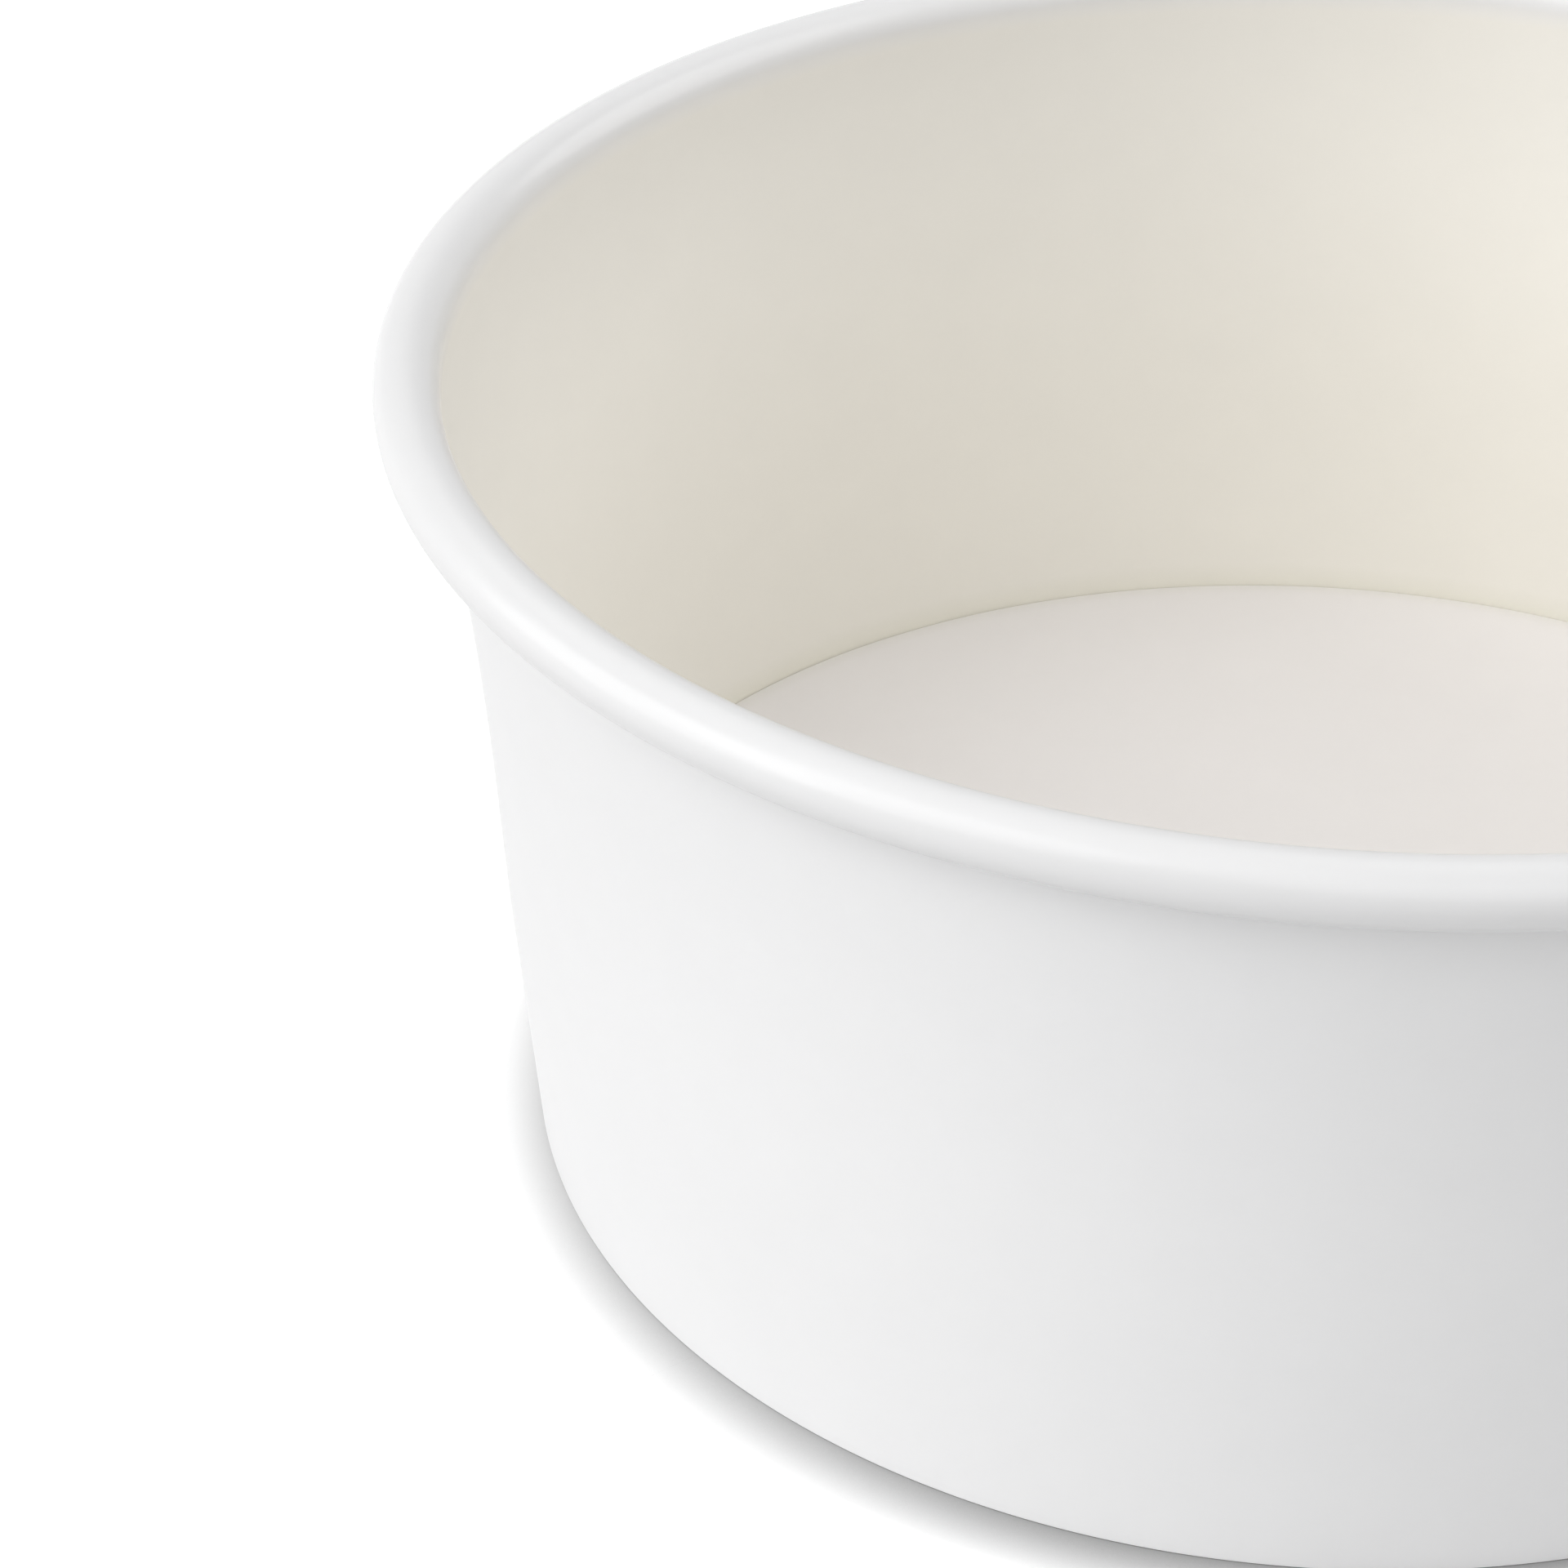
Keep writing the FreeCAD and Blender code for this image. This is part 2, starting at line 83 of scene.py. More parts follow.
line = wallLine()
faceNormal = np.array([math.cos(line["lean"]), -math.sin(line["lean"])])
upSlope = np.array([math.sin(line["lean"]), math.cos(line["lean"])])
foldRadius = cup["board"] / 2 + cup["glueLine"]  # inside the hem's fold, which holds the disc's skirt


def onWall(up, inward):
    # Point so far up the slope and so far in from the outer face, square to it
    return np.array([cup["baseDiameter"] / 2, 0.0]) + up * upSlope - inward * faceNormal


def upAtHeight(height, inward):
    # Way up the slope to a height: (height - inward * sin of the lean) / cos of the lean
    return (height - inward * math.sin(line["lean"])) / math.cos(line["lean"])


def lineRun(part, steps, start, end, normal):
    # Straight stretch of a section, without its last point, which the next run begins with:
    # start + share * (end - start)
    count = steps[part]
    share = np.arange(count)[:, None] / count
    points = np.asarray(start) + share * (np.asarray(end) - np.asarray(start))
    return points, np.tile(np.asarray(normal, float), (count, 1)), np.full(count, part)


def arcRun(part, steps, centre, radius, fromDegrees, toDegrees, outward):
    # Round stretch: centre + radius * (cos, sin). outward is 1 where the board lies within the arc and
    # -1 where it lies round it
    count = steps[part]
    angles = np.radians(fromDegrees + (toDegrees - fromDegrees) * np.arange(count) / count)
    rays = np.stack([np.cos(angles), np.sin(angles)], 1)
    return np.asarray(centre) + radius * rays, outward * rays, np.full(count, part)


def joinRuns(runs):
    # One array each of the points, the normals and the names of the parts
    return tuple(np.concatenate(column) for column in zip(*runs))


def lengthAlong(points):
    # Running length of a section, which is the second coordinate of its UV map
    steps = np.hypot(*np.diff(points, axis=0).T)
    return np.concatenate([[0.0], np.cumsum(steps)])


def turnedMesh(name, points, across, along, attributes, closedSection, sharpDegrees):
    # Quads between neighbouring columns and rows of points[column, row]. The columns always close round
    # the axis. The rows either close too, or end in a pole on the axis at each end. across and along are
    # the running lengths of the UV map, each with one value more than there are columns or rows.
    columns, rows = points.shape[:2]
    here = np.arange(columns * rows).reshape(columns, rows)
    beside = np.roll(here, -1, axis=0)
    lastRow = rows if closedSection else rows - 1
    rowIndex = np.arange(lastRow)
    nextRow = (rowIndex + 1) % rows
    quads = np.stack(
        [here[:, rowIndex], beside[:, rowIndex], beside[:, nextRow], here[:, nextRow]], -1
    ).reshape(-1, 4)
    u = np.stack([across[:-1], across[1:], across[1:], across[:-1]], -1)
    u = np.repeat(u[:, None, :], lastRow, axis=1).reshape(-1)
    v = np.stack([along[rowIndex], along[rowIndex], along[rowIndex + 1], along[rowIndex + 1]], -1)
    v = np.tile(v[None, :, :], (columns, 1, 1)).reshape(-1)
    coordinates = points.reshape(-1, 3)
    loops = quads.reshape(-1)
    sizes = np.full(len(quads), 4)
    if not closedSection:
        poles = np.array([[0.0, 0.0, points[0, 0, 2]], [0.0, 0.0, points[0, -1, 2]]])
        first = len(coordinates)
        coordinates = np.concatenate([coordinates, poles])
        topFan = np.stack([np.full(columns, first), beside[:, 0], here[:, 0]], -1)
        lowFan = np.stack([np.full(columns, first + 1), here[:, -1], beside[:, -1]], -1)
        fans = np.concatenate([topFan, lowFan])
        loops = np.concatenate([loops, fans.reshape(-1)])
        sizes = np.concatenate([sizes, np.full(len(fans), 3)])
        loopsOfFan = 3 * columns
        middle = (across[:-1] + across[1:]) / 2
        fanAcross = np.stack([middle, across[1:], across[:-1]], -1)
        u = np.concatenate([u, fanAcross.reshape(-1), fanAcross[:, [0, 2, 1]].reshape(-1)])
        v = np.concatenate([v, np.full(loopsOfFan, along[0]), np.full(loopsOfFan, along[-1])])
        attributes = {
            key: np.concatenate([value.reshape(-1), value[0, [0, -1]]])
            for key, value in attributes.items()
        }

    mesh = bpy.data.meshes.new(name)
    mesh.vertices.add(len(coordinates))
    mesh.loops.add(len(loops))
    mesh.polygons.add(len(sizes))
    mesh.vertices.foreach_set("co", (coordinates * mm).astype(np.float32).reshape(-1))
    mesh.loops.foreach_set("vertex_index", loops.astype(np.int32))
    starts = np.concatenate([[0], np.cumsum(sizes)[:-1]])
    mesh.polygons.foreach_set("loop_start", starts.astype(np.int32))
    mesh.polygons.foreach_set("use_smooth", np.ones(len(sizes), bool))
    uvLayer = mesh.uv_layers.new(name="board")
    uvLayer.data.foreach_set("uv", (np.stack([u, v], -1) * mm).astype(np.float32).reshape(-1))
    for key, value in attributes.items():
        layer = mesh.attributes.new(key, "FLOAT", "POINT")
        layer.data.foreach_set("value", value.astype(np.float32).reshape(-1))
    mesh.update(calc_edges=True)
    mesh.validate()
    mesh.set_sharp_from_angle(angle=math.radians(sharpDegrees))
    piece = bpy.data.objects.new(name, mesh)
    bpy.context.scene.collection.objects.link(piece)
    return piece


# Side wall

wall = {
    "columns": 372,  # round the cup, besides those at the seam
    "seamWidth": 7.0,  # overlap of the board's two ends
    "seamRamp": 2.0,  # over which the outer end comes back to the wall
    "seamSwell": 0.2,  # how far the roll stands out over the seam
    "seamReach": 9.0,  # half the stretch that has columns of its own
    "seamBlend": 30.0,  # beyond which columns run straight up the cone
    "cutWidth": 0.02,  # width that a cut edge takes in plan
    "cutMargin": 0.05,  # from each side of a cut edge to one more column
    "lapInset": 0.5,  # from a cut edge to the even columns on the overlap
    "lapColumns": 9,
    "rampInset": 0.35,  # from the cut edge to the even columns on the ramp, which end past it
    "rampPast": 0.6,
    "rampColumns": 9,
    "nearGap": 0.7,  # from the last column round the cup to those before the seam
    "nearColumns": 8,
    "outerLapTop": (38.8, 39.7),  # heights between which the overlap's step goes away under the roll
    "innerLapTop": (39.6, 40.7),
    "innerLapFoot": (-1.2, -0.5),  # from the floor, between which the inner step begins
    "swellFrom": (-90.0, -50.0),  # degrees round the roll between which it starts to stand out
    "swellTo": (70.0, 165.0),  # and goes back
    "swellStart": (-0.25, 0.1),  # from the first cut edge, round the cup
    "swellEnd": (-1.0, 1.6),  # from the other
    "rimWaves": ((2, 0.10, 0.6), (3, 0.07, 2.1), (5, 0.025, 4.0)),  # waves round, millimetres, phase
    "wavesFrom": 8.0,  # height at which the wall is still round
    "waist": 0.28,  # how far the wall draws in below the rim
    "waistFrom": 11.0,  # height at which it begins to
    "waistHeight": 25.0,  # where it is narrowest
    "waistFlat": 2.0,  # height over which it stays so
    "waistGap": 0.4,  # from the roll down to where the waist ends
    "insideTop": 41.5,  # below this the inner face takes its cream coating
    "insideFull": 40.3,  # and below this fully
    "paintedBounceShare": 0.14,  # painted warm bounce light: how much paler the cream is near the rim than at the disc, so that it runs deeper lower in the cup
    "paintedBounceHeights": (12.0, 40.0),  # between which the painted bounce light fades and the cream turns paler
    "rimHeights": (39.9, 41.1),  # between which the inner face goes over into the rim's tone
    "cornerShadeHeight": 1.2,  # of the painted shade on the inner face above the disc, a little darker
    "sharpAngle": 42.0,  # degrees between faces beyond which an edge stays sharp
    "steps": {  # along each part of the section
        "foot": 3,
        "outerBend": 6,
        "outerFace": 44,
        "rollInside": 18,
        "tuckInside": 10,
        "boardEdge": 2,
        "tuckOutside": 14,
        "roll": 48,
        "innerFace": 44,
        "fold": 8,
        "hemOutside": 4,
        "hemEdge": 2,
        "hem": 8,
        "innerBend": 6,
    },
}


def wallSection():
    # Once round the cut board, counter-clockwise: foot, outer face, inside of the roll, its tucked-in
    # turn, outside of the roll, inner face, fold, and the hem's two faces
    steps = wall["steps"]
    board = cup["board"]
    roll = line["rollRadius"]
    lean = math.degrees(line["lean"])
    tuck = roll - board - cup["rollGap"]
    rollCentre = line["rollCentre"]
    tuckCentre = rollCentre + np.array([0.0, tuck - roll])
    tuckTop = tuckCentre[1] + tuck
    edge = cup["footEdge"]
    corner = cup["hemCorner"]
    hem = 3 * board + 2 * cup["glueLine"]
    hemMiddle = hem / 2
    hemFace = hem - board
    hemTop = cup["floorHeight"] - cup["discCorner"] - cup["hemClearance"]
    outerUp = upAtHeight(edge, edge)
    innerUp = upAtHeight(corner, hem - corner)
    foldUp = upAtHeight(board + foldRadius, hemMiddle)
    hemUp = upAtHeight(hemTop, hemFace)
    outerCorner = onWall(outerUp, edge)
    innerCorner = onWall(innerUp, hem - corner)
    return joinRuns([
        lineRun("foot", steps, (innerCorner[0], 0.0), (outerCorner[0], 0.0), (0.0, -1.0)),
        arcRun("outerBend", steps, outerCorner, edge, -90.0, -lean, 1),
        lineRun("outerFace", steps, onWall(outerUp, 0.0), onWall(line["length"], 0.0), faceNormal),
        arcRun("rollInside", steps, rollCentre, roll - board, 180.0 - lean, -90.0, -1),
        arcRun("tuckInside", steps, tuckCentre, tuck - board, 270.0, 90.0, -1),
        lineRun("boardEdge", steps, (rollCentre[0], tuckTop - board), (rollCentre[0], tuckTop), (1.0, 0.0)),
        arcRun("tuckOutside", steps, tuckCentre, tuck, 90.0, 270.0, 1),
        arcRun("roll", steps, rollCentre, roll, -90.0, 180.0 - lean, 1),
        lineRun("innerFace", steps, onWall(line["length"], board), onWall(foldUp, board), -faceNormal),
        arcRun("fold", steps, onWall(foldUp, hemMiddle), foldRadius, -lean, -180.0 - lean, -1),
        lineRun("hemOutside", steps, onWall(foldUp, hemFace), onWall(hemUp, hemFace), faceNormal),
        lineRun("hemEdge", steps, onWall(hemUp, hemFace), onWall(hemUp, hem), upSlope),
        lineRun("hem", steps, onWall(hemUp, hem), onWall(innerUp, hem), -faceNormal),
        arcRun("innerBend", steps, innerCorner, corner, 180.0 - lean, 270.0, 1),
    ])


def seamColumns():
    # Distances round the cup from the seam's middle, at the mean radius: even beyond the seam, close
    # together on it, and in tight pairs beside a cut edge. They begin on the outer board's cut edge.
    half = wall["seamWidth"] / 2
    gap = wall["cutWidth"] / 2
    pair = np.array([gap, gap + wall["cutMargin"]])
    inset = wall["lapInset"]
    reach = wall["seamReach"]
    rampEnd = half + wall["seamRamp"] + wall["rampPast"]
    around = math.pi * (cup["baseDiameter"] + cup["rimDiameter"]) / 2
    near = np.concatenate([
        pair - half,
        np.linspace(inset - half, half - inset, wall["lapColumns"]),
        half - pair[::-1],
        half + pair,
        np.linspace(half + wall["rampInset"], rampEnd, wall["rampColumns"]),
    ])
    far = np.linspace(reach, around - reach, wall["columns"])
    before = np.concatenate([
        np.linspace(around - reach + wall["nearGap"], around - half - inset, wall["nearColumns"]),
        around - half - pair[::-1],
    ])
    return np.concatenate([near, far, before]), around


def makeSideWall():
    # The section turned round the axis: (across * cos, across * sin, up), where across = radius + what
    # the seam adds along the normal + waves - waist
    base, normals, parts = wallSection()
    along = lengthAlong(np.concatenate([base, base[:1]]))
    columns, around = seamColumns()
    fromSeam = np.where(columns > around / 2, columns - around, columns)[:, None]
    level = base[:, 1]
    radius = base[None, :, 0]
    height = base[None, :, 1]

    # Near the seam a column keeps its distance from it, further off it keeps its angle
    turn = fromSeam * 2 * math.pi / around
    steady = fromSeam / radius
    blend = 1 - smooth(wall["seamReach"], wall["seamBlend"], np.abs(fromSeam))
    angle = turn + (steady - turn) * blend

    # Seam: the outer end lies one board out, is cut at -half and ramps back past +half, and the inner
    # face steps out by a board where the inner end is cut at +half
    half = wall["seamWidth"] / 2
    board = cup["board"]
    outerFace = parts == "outerFace"
    innerFace = parts == "innerFace"
    ramp = 1 - smooth(half, half + wall["seamRamp"], fromSeam)
    outerEnd = (fromSeam > -half) * ramp
    innerStep = (fromSeam > half) * ramp
    onOuter = outerFace * (1 - smooth(*wall["outerLapTop"], level))
    onInner = innerFace * (1 - smooth(*wall["innerLapTop"], level))
    onInner = onInner * smooth(*wall["innerLapFoot"], level - cup["floorHeight"])
    rollAngle = np.degrees(np.arctan2(*(base - line["rollCentre"]).T[::-1]))
    onRoll = smooth(*wall["swellFrom"], rollAngle) * (1 - smooth(*wall["swellTo"], rollAngle))
    onRoll = onRoll * (parts == "roll")
    swell = smooth(*wall["swellStart"], fromSeam + half) * (1 - smooth(*wall["swellEnd"], fromSeam - half))
    offset = board * outerEnd * onOuter - board * innerStep * onInner + wall["seamSwell"] * swell * onRoll

    # The foot goes out with the outer end: not at its inner edge, and fully at its outer one
    footStart, footEnd = base[0, 0], base[wall["steps"]["foot"], 0]
    onFoot = (parts == "foot") * (base[:, 0] - footStart) / (footEnd - footStart) + (parts == "outerBend")

    # The board isn't quite round at the rim, and draws in a little below it
    waves = sum(size * np.cos(count * angle + phase) for count, size, phase in wall["rimWaves"])
    rise = smooth(wall["wavesFrom"], cup["height"], height)
    waistTop = cup["height"] - cup["rollDiameter"] - wall["waistGap"]
    draw = smooth(wall["waistFrom"], wall["waistHeight"], height)
    draw = draw * (1 - smooth(wall["waistHeight"] + wall["waistFlat"], waistTop, height))
    shift = waves * rise - wall["waist"] * draw * (outerFace | innerFace) + board * outerEnd * onFoot

    across = radius + normals[None, :, 0] * offset + shift
    up = height + normals[None, :, 1] * offset
    points = np.stack([across * np.cos(angle), across * np.sin(angle), up + 0 * across], -1)

    # Where the board is coated, cut, knurled and rolled, and where shade is painted in its corner with the
    # disc, from 0 to 1
    rollTop = 90.0
    innerQuarter = (parts == "roll") * (rollAngle > rollTop)
    inside = np.isin(parts, ["innerFace", "fold", "hemOutside"]) + innerQuarter
    inside = inside * (1 - smooth(wall["insideFull"], wall["insideTop"], level))
    # Painted warm bounce light: the cream is paler higher up the wall and deeper lower in the cup
    inside = inside * (1 - wall["paintedBounceShare"] * smooth(*wall["paintedBounceHeights"], level))
    rim = (parts == "roll") + innerFace * smooth(*wall["rimHeights"], level)
    # Painted shade on the inner face, darkest where it meets the disc
    cornerShade = innerFace * (1 - smooth(0.0, wall["cornerShadeHeight"], level - cup["floorHeight"]))
    besideCut = np.abs(np.abs(fromSeam) - half) < wall["cutWidth"]
    cutOutside = np.isin(parts, ["outerFace", "outerBend"]) * (fromSeam < 0)
    cutInside = innerFace * (fromSeam > 0)
    bare = np.isin(parts, ["boardEdge", "hemEdge"]) + besideCut * (cutOutside + cutInside)
    whole = np.ones((len(columns), 1))
    attributes = {
        "inside": whole * inside,
        "cut": np.clip(whole * bare, 0.0, 1.0),
        "hem": whole * (parts == "hem"),
        "rim": whole * rim,
        "cornerShade": whole * cornerShade,
    }
    roundUv = np.concatenate([columns, [columns[0] + around]])
    return turnedMesh("sideWall", points, roundUv, along, attributes, True, wall["sharpAngle"])


# Bottom disc

disc = {
    "columns": 300,
    "edgeRadius": 0.12,  # where the floor turns down, pressed tight against the wall
    "wallGap": 0.01,  # left between the skirt and the wall
    "cornerShadeWidth": 1.3,  # of the painted shade along the floor's edge against the wall, a little darker
    "dish": 0.12,  # how far the middle lies below the edge
    "puckers": 46,  # small pleats where the board turns down into the skirt
    "puckerDepth": 0.03,
    "puckerSharpness": 8,
    "puckerDrift": 1.3,  # by which they crowd and thin out, so many times round the disc
    "puckerDrifts": 3,
    "fanRadius": 1.0,  # within which the upper face closes to a point
    "fanRadiusUnder": 0.5,
    "sharpAngle": 50.0,
    "steps": {  # along each part of the section
        "floor": 44,
        "corner": 12,
        "skirt": 8,
        "skirtEdge": 2,
        "skirtInside": 8,
        "cornerInside": 10,
        "under": 30,
    },
}


def discSection():
    # From the middle of the upper face out over the edge, down the skirt and back under the floor
    steps = disc["steps"]
    board = cup["board"]
    corner = cup["discCorner"]
    edge = disc["edgeRadius"]
    floor = cup["floorHeight"]
    lean = math.degrees(line["lean"])
    face = board + disc["wallGap"]
    inner = face + board
    foot = board + foldRadius + cup["skirtClearance"]
    cornerUp = upAtHeight(floor - corner, face + corner)
    centre = onWall(cornerUp, face + corner)
    edgeUp = upAtHeight(floor - edge, face + edge)
    edgeCentre = onWall(edgeUp, face + edge)
    footOut = onWall(upAtHeight(foot, face), face)
    footIn = onWall(upAtHeight(foot, inner), inner)
    under = floor - board
    points, normals, parts = joinRuns([
        lineRun("floor", steps, (disc["fanRadius"], floor), (edgeCentre[0], floor), (0.0, 1.0)),
        arcRun("corner", steps, edgeCentre, edge, 90.0, -lean, 1),
        lineRun("skirt", steps, onWall(edgeUp, face), footOut, faceNormal),
        lineRun("skirtEdge", steps, footOut, footIn, (0.0, -1.0)),
        lineRun("skirtInside", steps, footIn, onWall(cornerUp, inner), -faceNormal),
        arcRun("cornerInside", steps, centre, corner - board, -lean, 90.0, -1),
        lineRun("under", steps, (centre[0], under), (disc["fanRadiusUnder"], under), (0.0, -1.0)),
    ])
    return points, normals, parts, centre[0]


def makeBottomDisc():
    # The section turned round the axis: (across * cos, across * sin, up), where across = radius + pleats
    # and up = height - dish * (1 - smooth step of the radius)
    base, normals, parts, flatRadius = discSection()
    columns = disc["columns"]
    turns = np.arange(columns + 1) * 2 * math.pi / columns
    # The section runs clockwise, and so do the columns, which turns the faces outwards
    angle = -turns[:-1, None]
    flat = np.isin(parts, ["floor", "under"])
    turned = np.isin(parts, ["skirtInside", "cornerInside"])
    sag = disc["dish"] * (1 - smooth(0.0, flatRadius, base[:, 0])) * flat
    drift = disc["puckerDrift"] * np.sin(disc["puckerDrifts"] * angle)
    pleat = np.cos(disc["puckers"] * angle + drift) ** disc["puckerSharpness"]
    across = base[:, 0] + normals[:, 0] * disc["puckerDepth"] * pleat * turned
    up = base[:, 1] - sag + 0 * across
    points = np.stack([across * np.cos(angle), across * np.sin(angle), up], -1)

    # Where the board is cut, and the painted shade along the floor's edge, from 0 to 1
    edge = base[:, 0].max()
    # Painted shade on the floor, darkest at its edge against the wall
    cornerShade = smooth(edge - disc["cornerShadeWidth"], edge, base[:, 0]) * np.isin(parts, ["floor", "corner"])
    whole = np.ones((columns, 1))
    attributes = {"cut": whole * (parts == "skirtEdge"), "cornerShade": whole * cornerShade}
    along = lengthAlong(base)
    roundUv = turns * flatRadius
    return turnedMesh("bottomDisc", points, roundUv, along, attributes, False, disc["sharpAngle"])


# Board finish

paper = {
    "outside": (0.89, 0.89, 0.893),
    "rim": (0.812, 0.812, 0.815),  # a little darker and greyer than the outer face
    "inside": (0.885, 0.861, 0.797),
    "disc": (0.885, 0.862, 0.858),
    "cutEdge": (0.80, 0.78, 0.74),
    "cornerShadeShare": (0.045, 0.043, 0.07),  # by which the painted shade in the corner of wall and disc is darker
    "mottle": 0.02,  # share by which the tone drifts
    "roughness": 0.5,
    "roughnessDrift": 0.08,
    "cutRoughness": 0.85,
    "shine": 0.2,
    "rimPolish": 0.6,  # weight of the clear coat on the rolled rim
    "rimPolishRoughness": 0.2,  # of that coat
    "clouds": {"Scale": 260.0, "Detail": 4.0, "Roughness": 0.55},  # of the tone, a few millimetres wide
    "fibres": {"Scale": 2300.0, "Detail": 3.0, "Roughness": 0.6, "Distortion": 0.4},
    "fibreStretch": (1.0, 2.6, 1.6),  # shares by which they are closer along each axis
    "fibreShare": 0.3,  # of the fibres in the tone, beside the clouds
    "fibreHeight": 0.000006,  # metres
    "knurlScale": 225.0,  # ridges 1.4 mm from one to the next
    "knurlHeight": 0.00006,  # metres
}

# Where a mix node has its colours, as its sockets for numbers and colours share their names
mixPlaces = {"first": 6, "second": 7, "result": 2}


def setInputs(tree, node, values):
    # By name or place: a socket is linked, and anything else is written in as the input's own value
    for key, value in values.items():
        if isinstance(value, bpy.types.NodeSocket):
            tree.links.new(value, node.inputs[key])
        else:
            node.inputs[key].default_value = value


def addNode(tree, kind, values=None, **settings):
    node = tree.nodes.new(kind)
    for key, value in settings.items():
        setattr(node, key, value)
    setInputs(tree, node, values or {})
    return node


def maths(tree, operation, *terms):
    return addNode(tree, "ShaderNodeMath", dict(enumerate(terms)), operation=operation).outputs["Value"]


def mixedValue(tree, share, first, second):
    # first + share * (second - first)
    values = {"Factor": share, "A": first, "B": second}
    return addNode(tree, "ShaderNodeMix", values, data_type="FLOAT").outputs["Result"]


def mixedColour(tree, share, first, second):
    # The same for colours, written as three numbers or taken from a socket
    colours = [(*colour, 1.0) if isinstance(colour, tuple) else colour for colour in (first, second)]
    values = {"Factor": share, mixPlaces["first"]: colours[0], mixPlaces["second"]: colours[1]}
    return addNode(tree, "ShaderNodeMix", values, data_type="RGBA").outputs[mixPlaces["result"]]


def scaledVector(tree, vector, scale):
    values = {"Vector": vector, "Scale": scale}
    return addNode(tree, "ShaderNodeVectorMath", values, operation="SCALE").outputs["Vector"]


def attributeMask(tree, name):
    return addNode(tree, "ShaderNodeAttribute", attribute_name=name).outputs["Fac"]


def boardUv(tree):
    return addNode(tree, "ShaderNodeUVMap", uv_map="board").outputs["UV"]


def objectPlace(tree):
    return addNode(tree, "ShaderNodeTexCoord").outputs["Object"]


def makeBoardFinish():
    # Node group for coated board: the tone drifts with clouds of a few millimetres, fibres lie under the
    # coating as long fine noise, and both change the gloss a little
    group = bpy.data.node_groups.new("boardFinish", "ShaderNodeTree")
    inputs = {
        "Vector": "NodeSocketVector",
        "Colour": "NodeSocketColor",
        "Mottle": "NodeSocketFloat",
        "Roughness": "NodeSocketFloat",
        "Drift": "NodeSocketFloat",
    }
    outputs = {"Colour": "NodeSocketColor", "Roughness": "NodeSocketFloat", "Height": "NodeSocketFloat"}
    for direction, sockets in (("INPUT", inputs), ("OUTPUT", outputs)):
        for name, kind in sockets.items():
            group.interface.new_socket(name, in_out=direction, socket_type=kind)
    given = addNode(group, "NodeGroupInput").outputs
    clouds = addNode(group, "ShaderNodeTexNoise", {"Vector": given["Vector"], **paper["clouds"]})
    stretched = {"Vector": given["Vector"], "Scale": paper["fibreStretch"]}
    along = addNode(group, "ShaderNodeMapping", stretched).outputs["Vector"]
    fibres = addNode(group, "ShaderNodeTexNoise", {"Vector": along, **paper["fibres"]})
    both = mixedValue(group, paper["fibreShare"], clouds.outputs["Fac"], fibres.outputs["Fac"])

    # drift = 2 * both - 1, tone = 1 + mottle * drift, roughness = given roughness + its drift * drift
    drift = maths(group, "MULTIPLY_ADD", both, 2.0, -1.0)
    tone = maths(group, "MULTIPLY_ADD", drift, given["Mottle"], 1.0)
    made = {
        "Colour": scaledVector(group, given["Colour"], tone),
        "Roughness": maths(group, "MULTIPLY_ADD", drift, given["Drift"], given["Roughness"]),
        "Height": both,
    }
    addNode(group, "NodeGroupOutput", made)
    return group


boardFinish = makeBoardFinish()


def boardMaterial(name, colour, vector, knurled=False):
    # colour and vector are functions that add their nodes and return a socket
    material = bpy.data.materials.new(name)
    material.use_nodes = True
    tree = material.node_tree
    finish = addNode(tree, "ShaderNodeGroup", node_tree=boardFinish)
    given = {
        "Vector": vector(tree),
        "Colour": colour(tree),
        "Mottle": paper["mottle"],
        "Roughness": paper["roughness"],
        "Drift": paper["roughnessDrift"],
    }
    setInputs(tree, finish, given)
    bump = {"Height": finish.outputs["Height"], "Distance": paper["fibreHeight"]}
    if knurled:
        bump["Normal"] = knurlBump(tree)
    shown = {
        "Base Color": finish.outputs["Colour"],
        "Roughness": mixedValue(
            tree, attributeMask(tree, "cut"), finish.outputs["Roughness"], paper["cutRoughness"]
        ),
        "Specular IOR Level": paper["shine"],
        "Coat Weight": maths(tree, "MULTIPLY", attributeMask(tree, "rim"), paper["rimPolish"]),
        "Coat Roughness": paper["rimPolishRoughness"],
        "Normal": addNode(tree, "ShaderNodeBump", bump).outputs["Normal"],
    }
    setInputs(tree, tree.nodes["Principled BSDF"], shown)
    return material


def knurlBump(tree):
    # Pressed ridges of the hem: a sine wave round the cup, held to where the hem is
    wave = addNode(
        tree,
        "ShaderNodeTexWave",
        {"Vector": boardUv(tree), "Scale": paper["knurlScale"]},
        wave_type="BANDS",
        bands_direction="X",
    )
    held = maths(tree, "MULTIPLY", wave.outputs["Fac"], attributeMask(tree, "hem"))
    ridges = {"Height": held, "Distance": paper["knurlHeight"]}
    return addNode(tree, "ShaderNodeBump", ridges).outputs["Normal"]


def cornerShadeTone(colour):
    # Painted shade in the corner of wall and disc: each part of the colour less its share
    return tuple(value * (1 - share) for value, share in zip(colour, paper["cornerShadeShare"]))


def wallColour(tree):
    outer = mixedColour(tree, attributeMask(tree, "rim"), paper["outside"], paper["rim"])
    # Painted shade on the inner face just above the disc
    cornerShaded = cornerShadeTone(paper["inside"])
    inner = mixedColour(tree, attributeMask(tree, "cornerShade"), paper["inside"], cornerShaded)
    coated = mixedColour(tree, attributeMask(tree, "inside"), outer, inner)
    return mixedColour(tree, attributeMask(tree, "cut"), coated, paper["cutEdge"])


